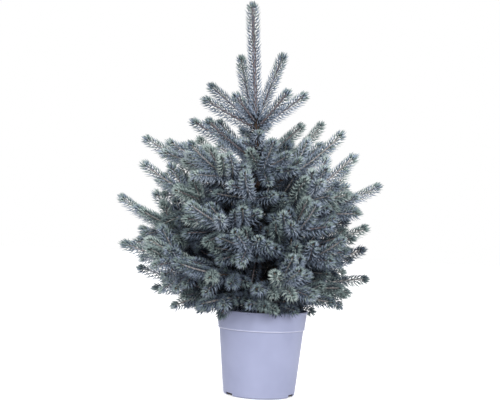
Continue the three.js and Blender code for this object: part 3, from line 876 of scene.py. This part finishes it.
# %% [markdown]
# ## Shape of a needle
#
# A needle leaves its twig steeply and bends forward. Five points are enough for that: the foot,
# the tip, and a small triangle between them that stands off the straight line. Needles on the
# underside droop, and those of the tuft close up round the bud as a dome.

# %% Shape the needles
ONE_NEEDLE = np.array([(0, 2, 1), (0, 3, 2), (0, 1, 3), (4, 1, 2), (4, 2, 3), (4, 3, 1)])


def needles_on(shoot, random):
    """Points, faces and finishes of all the needles of one shoot, in one go."""
    share, tuft = needle_places(shoot, random)
    total = len(share)
    along, right, up = frames_on(shoot["curve"], share)
    around = needle_turns(shoot, along, random)
    under = -np.cos(around) * (1 - along[:, 2] ** 2)  # 1 below a level shoot, -1 above it
    spread = lerp(*shoot["spread"], share ** 3)
    spread += NEEDLE["droop"] * under + random.normal(0, NEEDLE["spread_noise"], total)
    spread[-len(tuft):] = lerp(*TUFT["spread"], 1 - tuft)
    out = right * np.sin(around)[:, None] + up * np.cos(around)[:, None]

    def way(angle):
        a = np.radians(angle)[:, None]
        return along * np.cos(a) + out * np.sin(a)

    first = way(spread + NEEDLE["bend"])
    second = way(spread - NEEDLE["bend"])
    length = needle_lengths(shoot, share, under, tuft, random)[:, None]
    radius = lerp(shoot["radii"][0], shoot["radii"][1], share)[:, None]
    foot = points_on(shoot["curve"], share) + out * radius * 0.5
    middle = foot + first * length * NEEDLE["bent_at"]
    tip = middle + second * length * (1 - NEEDLE["bent_at"])
    flat = unit(np.cross(second, out + along * 0.01))
    edge = np.cross(second, flat)
    corners = [middle + NEEDLE["radius"] * (flat * math.cos(a) + edge * math.sin(a))
               for a in (0, 2 * math.pi / 3, 4 * math.pi / 3)]
    points = np.stack((foot, *corners, tip), axis=1).reshape(-1, 3)
    faces = (np.arange(total)[:, None, None] * 5 + ONE_NEEDLE).reshape(-1, 3)
    steps, families = tones_of(shoot, share, under, random)
    # The foot half of each needle takes the next darker step after its tip half: painted shade where
    # the needles crowd at the stem.
    outer, inner = FAMILIES[families, steps], FAMILIES[families, steps + 1]  # tip and foot halves
    return points, faces, np.stack((inner,) * 3 + (outer,) * 3, axis=1).ravel()


needle_pieces = {}
for whorl_name in [whorl["name"] for whorl in WHORLS] + ["leader"]:
    heap = Heap()
    for number, shoot in enumerate(shoots):
        if shoot["whorl"] == whorl_name:
            heap.add(*needles_on(shoot, np.random.default_rng((NEEDLE_SEED, number))))
    needle_pieces[whorl_name] = heap.piece(f"needles_{whorl_name}", needle_finishes)
print(sum(len(p.data.polygons) for p in needle_pieces.values()), "needle triangles in all")

# %% [markdown]
# ## Stems of the shoots
#
# The bark of young stems is a warm grey, pale on some and darker on others. The darker one is a copy
# of the pale one, painted shade for stems that lie in the shade of the needles. The ends of the older
# limbs and nearly half of the side shoots get the pale one, and the leader, the limbs round it and the
# other shoots the darker one. A small tube of a few sides is enough for each, since needles stand all
# over it. The wood of the limbs comes later, with real bark.

# %% Stems
young_bark = mottled(new_material("young_bark", linear(178, 172, 170), 0.7), linear(148, 142, 140),
                     scale=220, roughness=(0.6, 0.85), bump=0.7, bump_scale=900)
# A darker copy of the young bark: painted shade for stems that lie in the shade of the needles.
shaded_young_bark = mottled(new_material("shaded_young_bark", linear(132, 122, 124), 0.75), linear(104, 95, 98),
                    scale=220, roughness=(0.65, 0.9), bump=0.7, bump_scale=900)
PALE_SHARE = 0.45  # of the side shoots
STEM_RING_GAP, STEM_SIDES = 16, 5
LIMB_END = dict(rings=12, sides=6)
LIMB_END_TAPER = 1.35
random = np.random.default_rng(44)
heap = Heap()
for shoot in shoots:
    pale = random.uniform() < PALE_SHARE
    if shoot["order"] in (1, 2):
        rings = max(3, int(shoot["length"] / STEM_RING_GAP))
        heap.add(*tube(shoot["curve"], 0, 1, rings, STEM_SIDES, shoot["radii"]), 0 if pale else 1)
    elif shoot["order"] == 0:
        start = max(0, 1 - YOUNG_LENGTH / shoot["length"]) if shoot["whorl"] != "leader" else 0
        radii = shoot["radii"][1] * LIMB_END_TAPER, shoot["radii"][1]
        stem = tube(shoot["curve"], start, 1, radii=radii, **LIMB_END)
        heap.add(*stem, 0 if shoot["light"] is None else 1)
young_stems = heap.piece("young_stems", [young_bark, shaded_young_bark])

# %% [markdown]
# ## Buds
#
# Next year's growth waits in blunt scaly buds at the shoots' ends. Each is a short spindle of
# three rings and a point, half sunk in the tuft of needles.

# %% Buds
bud_finish = mottled(new_material("bud_scales", linear(116, 98, 84), 0.6), linear(84, 70, 60),
                     scale=500, roughness=(0.5, 0.8), bump=0.6, bump_scale=1400)
BUD_LENGTH, BUD_RADIUS = 5.0, 1.8


def bud(curve):
    centre, (along, right, up) = points_on(curve, 1.0)[0], (axis[0] for axis in frames_on(curve, 1.0))
    rings = []
    for place, width in ((-0.1, 0.7), (0.35, 1.0), (0.7, 0.65)):
        angle = np.arange(6)[:, None] * math.pi / 3
        ring = right * np.cos(angle) + up * np.sin(angle)
        rings.append(centre + along * BUD_LENGTH * place + ring * BUD_RADIUS * width)
    return rings_to_tube(np.array(rings), centre + along * BUD_LENGTH)


heap = Heap()
for shoot in shoots:
    if shoot["order"] < 3:
        heap.add(*bud(shoot["curve"]))
buds = heap.piece("buds", [bud_finish])

# %% [markdown]
# ## Bark
#
# Young spruce bark is grey-brown with small scales that lift at their edges, a collar swells
# where each limb leaves, and faint rings show where each year's growth ended. A tube drawn ring
# by ring with an extrude gives the stem, and its points are then moved along their normals by
# noise, so that the relief is in the mesh. Finer grain is left to the material.

# %% Bark finish
old_bark = mottled(new_material("old_bark", linear(112, 92, 78), 0.85), linear(66, 54, 47),
                   scale=90, detail=6.0, low=0.38, high=0.62, roughness=(0.75, 0.95),
                   bump=0.9, bump_scale=420, bump_distance=0.0006)


def skin_along(bm, centres, radii, sides):
    """Extrudes a ring of edges along a line of centres, in metres, and closes both ends."""
    centres = [Vector(centre) for centre in centres]
    ways = [(b - a).normalized() for a, b in zip(centres, centres[1:])]
    ways.append(ways[-1])
    places = []
    for centre, way, radius in zip(centres, ways, radii):
        turned = Vector((0, 0, 1)).rotation_difference(way).to_matrix().to_4x4()
        places.append(Matrix.Translation(centre) @ turned @ Matrix.Scale(radius, 4))
    ring = bmesh.ops.create_circle(bm, cap_ends=True, segments=sides, radius=1.0, matrix=places[0])
    made = list(ring["verts"])
    edges = [edge for edge in {e for v in made for e in v.link_edges} if len(edge.link_faces) == 1]
    for last, place in zip(places, places[1:]):
        grown = bmesh.ops.extrude_edge_only(bm, edges=edges)["geom"]
        corners = [item for item in grown if isinstance(item, bmesh.types.BMVert)]
        edges = [item for item in grown if isinstance(item, bmesh.types.BMEdge)]
        bmesh.ops.transform(bm, matrix=place @ last.inverted(), verts=corners)
        made += corners
    bmesh.ops.edgeloop_fill(bm, edges=edges)
    return made


def bark_relief(vertex, size):
    """How far a point of bark stands out: broad lumps, scales with steep edges, fine grain."""
    place = vertex.co / MM
    lumps = noise.noise(place * 0.035) * 0.05
    scales = abs(noise.noise(Vector((place.x * 0.32, place.y * 0.32, place.z * 0.16)))) * 0.16
    grain = noise.noise(place * 0.9) * 0.03
    return (lumps + scales + grain) * size


print("old_bark is made of", len(old_bark.node_tree.nodes), "nodes")

# %% [markdown]
# The trunk leans and bows a little and flares where it meets the soil. Rings three millimetres
# apart are close enough to carry scales of bark. Near each limb's foot the points swell out
# towards the limb, so no limb looks stuck on.

# %% Trunk
TRUNK_RING_GAP, TRUNK_SIDES = 3.0, 30
COLLAR_REACH, COLLAR_SWELL = 11.0, 2.4
BARK_SINK = 0.04  # of the radius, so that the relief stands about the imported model's surface


def make_trunk():
    bm = bmesh.new()
    foot = SOIL["crown"] + 0.3
    heights = np.linspace(foot, TRUNK["top"], int((TRUNK["top"] - foot) / TRUNK_RING_GAP))
    centres = [trunk_axis(height) * MM for height in heights]
    radii = [trunk_radius(height) * MM for height in heights]
    skin_along(bm, centres, radii, TRUNK_SIDES)
    bmesh.ops.recalc_face_normals(bm, faces=bm.faces)
    bm.normal_update()
    limb_feet = [(Vector(limb["curve"][0]), Vector(unit(limb["curve"][1] - limb["curve"][0])))
                 for limb in limbs]
    moves = []
    for vertex in bm.verts:
        place = vertex.co / MM
        radius = trunk_radius(place.z)
        out = bark_relief(vertex, radius) - BARK_SINK * radius
        for limb_foot, way in limb_feet:
            offset = place - limb_foot
            if abs(offset.z) < 3 * COLLAR_REACH and offset.dot(way) > 0:
                beside = (offset - way * offset.dot(way)).length / COLLAR_REACH
                out += COLLAR_SWELL * math.exp(-beside ** 2 * 3)
        moves.append(vertex.normal * out * MM)
    for vertex, move in zip(bm.verts, moves):
        if vertex.co.z > foot * MM + 0.0005:
            vertex.co += move
    return piece_from(bm, "trunk_bark", old_bark)


trunk = make_trunk()
trunk.data.shade_smooth()
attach(trunk, "root")
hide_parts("trunk")
print("trunk_bark has", len(trunk.data.polygons), "faces")

# %% [markdown]
# ## Boughs and the wood of the limbs
#
# Under the needles every limb is a tapering branch. Its old wood runs from the trunk to where
# this year's growth begins, and has the same bark as the trunk. The lowest full whorl's bare
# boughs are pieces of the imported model, so their bark is kept as one piece of its own.

# %% Boughs and limb wood
WOOD_RING_GAP, WOOD_SIDES, WOOD_RELIEF = 6.0, 9, 4.0


def add_wood(bm, limb, start, end):
    count = max(4, int(limb["length"] * (end - start) / WOOD_RING_GAP))
    shares = np.linspace(start, end, count)
    centres = points_on(limb["curve"], shares) * MM
    radii = [limb_radius(limb, share) * MM for share in shares]
    before = set(bm.verts)
    skin_along(bm, centres, radii, WOOD_SIDES)
    bm.normal_update()
    for vertex in set(bm.verts) - before:
        vertex.co += vertex.normal * bark_relief(vertex, WOOD_RELIEF) * MM


boughs_bm, wood_bm = bmesh.new(), bmesh.new()
for limb in limbs:
    old_share = max(0.3, 1 - YOUNG_LENGTH / limb["length"])
    surface = trunk_radius(limb["height"]) * 0.5 / limb["length"]
    if limb["bare"]:
        add_wood(boughs_bm, limb, surface, limb["bare"])
        add_wood(wood_bm, limb, limb["bare"] - 0.005, old_share + 0.02)
    else:
        add_wood(wood_bm, limb, surface, old_share + 0.02)
for bm in (boughs_bm, wood_bm):
    bmesh.ops.recalc_face_normals(bm, faces=bm.faces)
boughs = piece_from(boughs_bm, "boughs_bark", old_bark)
limb_wood = piece_from(wood_bm, "limb_wood", old_bark)
for piece in (boughs, limb_wood):
    piece.data.shade_smooth()
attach(boughs, "root")
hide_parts(*[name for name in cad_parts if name.startswith("bough_")])
print("boughs:", len(boughs.data.polygons), "faces, limb wood:", len(limb_wood.data.polygons))

# %% [markdown]
# ## Needles, stems and buds take their places
#
# The joined pieces ride on the plant's one body. Each piece of needles stands for the masses of
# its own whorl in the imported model. Stems, buds and limb wood stand for all of them together.

# %% Foliage pieces replace the masses
foliage_nodes = [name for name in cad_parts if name.startswith("foliage_")]
for whorl_name, piece in needle_pieces.items():
    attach(piece, "root")
    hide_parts(*[name for name in foliage_nodes if name.startswith("foliage_" + whorl_name)])
for piece in (young_stems, buds, limb_wood):
    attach(piece, "root")
    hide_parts(*foliage_nodes)
print(len(foliage_nodes), "masses of the packed model are replaced")

# %% [markdown]
# ## The pot
#
# A nursery pot is blown or injected from thin plastic: a tapering wall, a thicker collar with a
# small step under it, a rolled lip, and slots at the foot for the water. A half outline is drawn
# as a chain of edges, from the middle of the underside round the wall to the middle of the floor.

# %% Outline of the pot
LIP_RADIUS = 1.6
COLLAR_ROUNDING, COLLAR_EDGE = 1.4, 2.4


def arc(centre, radius, start, end, steps):
    """Points (radius, height) on an arc, by angles in degrees."""
    angles = np.radians(np.linspace(start, end, steps + 1))
    return [(centre[0] + radius * math.cos(a), centre[1] + radius * math.sin(a)) for a in angles]


def inner_radius(height):
    band_foot = POT["height"] - POT["band_height"]
    if height < band_foot:
        return lerp(POT["foot_radius"], POT["body_top_radius"], height / band_foot) - POT["wall"]
    share = (height - band_foot) / POT["band_height"]
    return lerp(POT["body_top_radius"] - POT["wall"], POT["rim_radius"] - POT["lip_width"], share)


def pot_outline():
    band_foot = POT["height"] - POT["band_height"]
    rounding, rim, lip = POT["foot_rounding"], POT["rim_radius"], POT["lip_width"]
    foot, hollow = POT["foot_radius"], 1.2  # the underside stands off the ground by the hollow
    outline = [(0, hollow), (foot - 22, hollow), (foot - 20, 0)]
    outline += arc((foot - rounding, rounding), rounding, -90, -6, 6)
    outline += [(lerp(foot, POT["body_top_radius"], share), band_foot * share)
                for share in (0.25, 0.5, 0.75, 0.985)]
    outline += [(POT["body_top_radius"] + 0.1, band_foot - 0.6)]
    band, rounding = POT["band_foot_radius"], COLLAR_ROUNDING
    outline += arc((band + 0.5 - rounding, band_foot + rounding), rounding, -80, 0, 5)
    outline += [(band + 0.5, band_foot + COLLAR_EDGE)]
    outline += [(band - 0.2, band_foot + 4.2), (band + 0.3, band_foot + 6)]
    outline += [(rim - 2.4, POT["height"] - 8.0), (rim - 1.9, POT["height"] - 5.6)]
    outline += arc((rim - LIP_RADIUS, POT["height"] - 3.4), LIP_RADIUS, -60, 0, 3)
    outline += arc((rim - LIP_RADIUS, POT["height"] - LIP_RADIUS), LIP_RADIUS, 0, 90, 5)
    outline += arc((rim - lip + 1.2, POT["height"] - 1.2), 1.2, 90, 180, 4)
    outline += [(inner_radius(band_foot), band_foot), (inner_radius(POT["floor"]), POT["floor"] + 1.5),
                (inner_radius(POT["floor"]) - 1.5, POT["floor"]), (0, POT["floor"])]
    return outline


print("the pot's half outline has", len(pot_outline()), "points")

# %% [markdown]
# Spinning the outline gives a shell with true wall and floor. The lower edge of the collar sticks out,
# and its faces get a paler finish of their own: a painted highlight where that edge catches the light.

# %% Spin the pot
POT_STEPS = 128
pot_plastic = mottled(new_material("pot_plastic", linear(163, 168, 197), 0.55, Specular_IOR_Level=0.3),
                      linear(157, 162, 191), scale=14, detail=2.0, roughness=(0.5, 0.62),
                      bump=0.25, bump_scale=520, bump_distance=0.0001)
# A paler, glossier finish for the collar's lower edge: a painted highlight where it catches the light.
pot_edge_highlight = mottled(new_material("pot_edge_highlight", linear(204, 206, 226), 0.4), linear(192, 195, 217),
                   scale=60, roughness=(0.35, 0.5))


def spun(outline, steps):
    """A closed shape from half an outline (radius, height) spun round the upright axis."""
    bm = bmesh.new()
    chain = [bm.verts.new((radius * MM, 0, height * MM)) for radius, height in outline]
    edges = [bm.edges.new(pair) for pair in zip(chain, chain[1:])]
    bmesh.ops.spin(bm, geom=chain + edges, cent=(0, 0, 0), axis=(0, 0, 1), angle=2 * math.pi,
                   steps=steps, use_merge=True)
    bmesh.ops.remove_doubles(bm, verts=bm.verts, dist=0.00001)
    bmesh.ops.recalc_face_normals(bm, faces=bm.faces)
    return bm


def paint_collar_highlight(pot, finish):
    """Gives the lower edge of the collar, which sticks out all round, its own paler finish, a painted
    highlight.
    """
    pot.data.materials.append(finish)
    low = (POT["height"] - POT["band_height"]) * MM
    for face in pot.data.polygons:
        out = math.hypot(face.center.x, face.center.y) > (POT["body_top_radius"] + 0.6) * MM
        if out and low - 0.0001 < face.center.z < low + COLLAR_EDGE * MM:
            face.material_index = 1


pot = piece_from(spun(pot_outline(), POT_STEPS), "pot_shell", pot_plastic)
paint_collar_highlight(pot, pot_edge_highlight)
print("the spun pot has", len(pot.data.polygons), "faces")

# %% [markdown]
# The drain slots go right through the foot of the wall. Boxes stand where they are to be, and a
# Boolean modifier takes them out of the pot. Its result becomes the pot's mesh, and the boxes are
# taken away again.

# %% Cut the slots
def cut_slots(pot):
    bm = bmesh.new()
    depth = POT["foot_radius"] - DRAIN["inner_radius"] + 10
    for i in range(DRAIN["count"]):
        azimuth = math.radians(DRAIN["first_azimuth"] + i * 360 / DRAIN["count"])
        box = Matrix.Rotation(azimuth, 4, "Z")
        box @= Matrix.Translation(Vector((DRAIN["inner_radius"] + depth / 2, 0, 0)) * MM)
        box @= Matrix.Diagonal((depth * MM, DRAIN["width"] * MM, 2 * DRAIN["height"] * MM, 1))
        bmesh.ops.create_cube(bm, size=1.0, matrix=box)
    cutter = piece_from(bm, "slot_cutter")
    cut = pot.modifiers.new("slots", "BOOLEAN")
    cut.object, cut.operation, cut.solver = cutter, "DIFFERENCE", "EXACT"
    cut_pot = pot.evaluated_get(bpy.context.evaluated_depsgraph_get())
    pot_mesh = bpy.data.meshes.new_from_object(cut_pot)
    pot.modifiers.remove(cut)
    pot.data = pot_mesh
    bpy.data.objects.remove(cutter)


cut_slots(pot)
pot.data.shade_smooth()
pot.data.set_sharp_from_angle(angle=math.radians(32))
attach(pot, "root")
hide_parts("pot")
print("pot_shell has", len(pot.data.polygons), "faces")

# %% [markdown]
# ## The soil
#
# Potting soil is dark peat with crumbs and slivers of bark. A flat outline spun round the axis
# gives the body. Noise lifts its upper face, and seven hundred crumbs lie half sunk in it.

# %% Soil
SOIL_RINGS, SOIL_STEPS = 26, 110
CRUMBS = dict(count=700, within=108, bed_radius=112, sizes=(1.0, 3.4), flatness=(1.6, 1.0, 0.6))
peat = mottled(new_material("peat", linear(58, 46, 36), 0.95), linear(26, 20, 16), scale=140,
               detail=8.0, roughness=(0.85, 1.0), bump=1.0, bump_scale=600, bump_distance=0.0015)


def make_soil():
    foot, edge = POT["floor"] + 0.3, SOIL["edge"]
    outline = [(0, foot), (inner_radius(foot) - 0.4, foot), (inner_radius(edge) - 0.4, edge)]
    outline += [(radius, lerp(edge, SOIL["crown"], (1 - radius / inner_radius(edge)) ** 0.5))
                for radius in np.linspace(inner_radius(edge) - 4, 0, SOIL_RINGS)]
    bm = spun(outline, SOIL_STEPS)
    for vertex in bm.verts:
        if vertex.co.z > (edge - 1) * MM:
            place = vertex.co / MM
            vertex.co.z += (noise.noise(place * 0.05) * 2.2 + noise.noise(place * 0.3) * 1.2) * MM
    return piece_from(bm, "soil_bed", peat)


soil = make_soil()
soil.data.shade_smooth()
crumb_bm = bmesh.new()
bmesh.ops.create_icosphere(crumb_bm, subdivisions=1, radius=1.0)
crumb_points = np.array([vertex.co for vertex in crumb_bm.verts])
crumb_faces = np.array([[vertex.index for vertex in face.verts] for face in crumb_bm.faces])
crumb_bm.free()
heap = Heap()
for _ in range(CRUMBS["count"]):
    radius = CRUMBS["within"] * math.sqrt(random.uniform(0.02, 1))
    azimuth = random.uniform(0, 2 * math.pi)
    size = random.uniform(*CRUMBS["sizes"]) * np.array(CRUMBS["flatness"])
    size *= random.uniform(0.7, 1.3, 3)
    turn = np.array(Matrix.Rotation(random.uniform(0, math.pi), 3, "Z"))
    shape = crumb_points * random.uniform(0.75, 1.25, (len(crumb_points), 1)) * size
    height = lerp(SOIL["edge"], SOIL["crown"], (1 - radius / CRUMBS["bed_radius"]) ** 0.5)
    centre = np.array((radius * math.cos(azimuth), radius * math.sin(azimuth), height))
    heap.add(shape @ turn.T + centre, crumb_faces)
crumbs = heap.piece("soil_crumbs", [peat])
for piece in (soil, crumbs):
    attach(piece, "root")
    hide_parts("soil")
print("soil_bed has", len(soil.data.polygons), "faces")
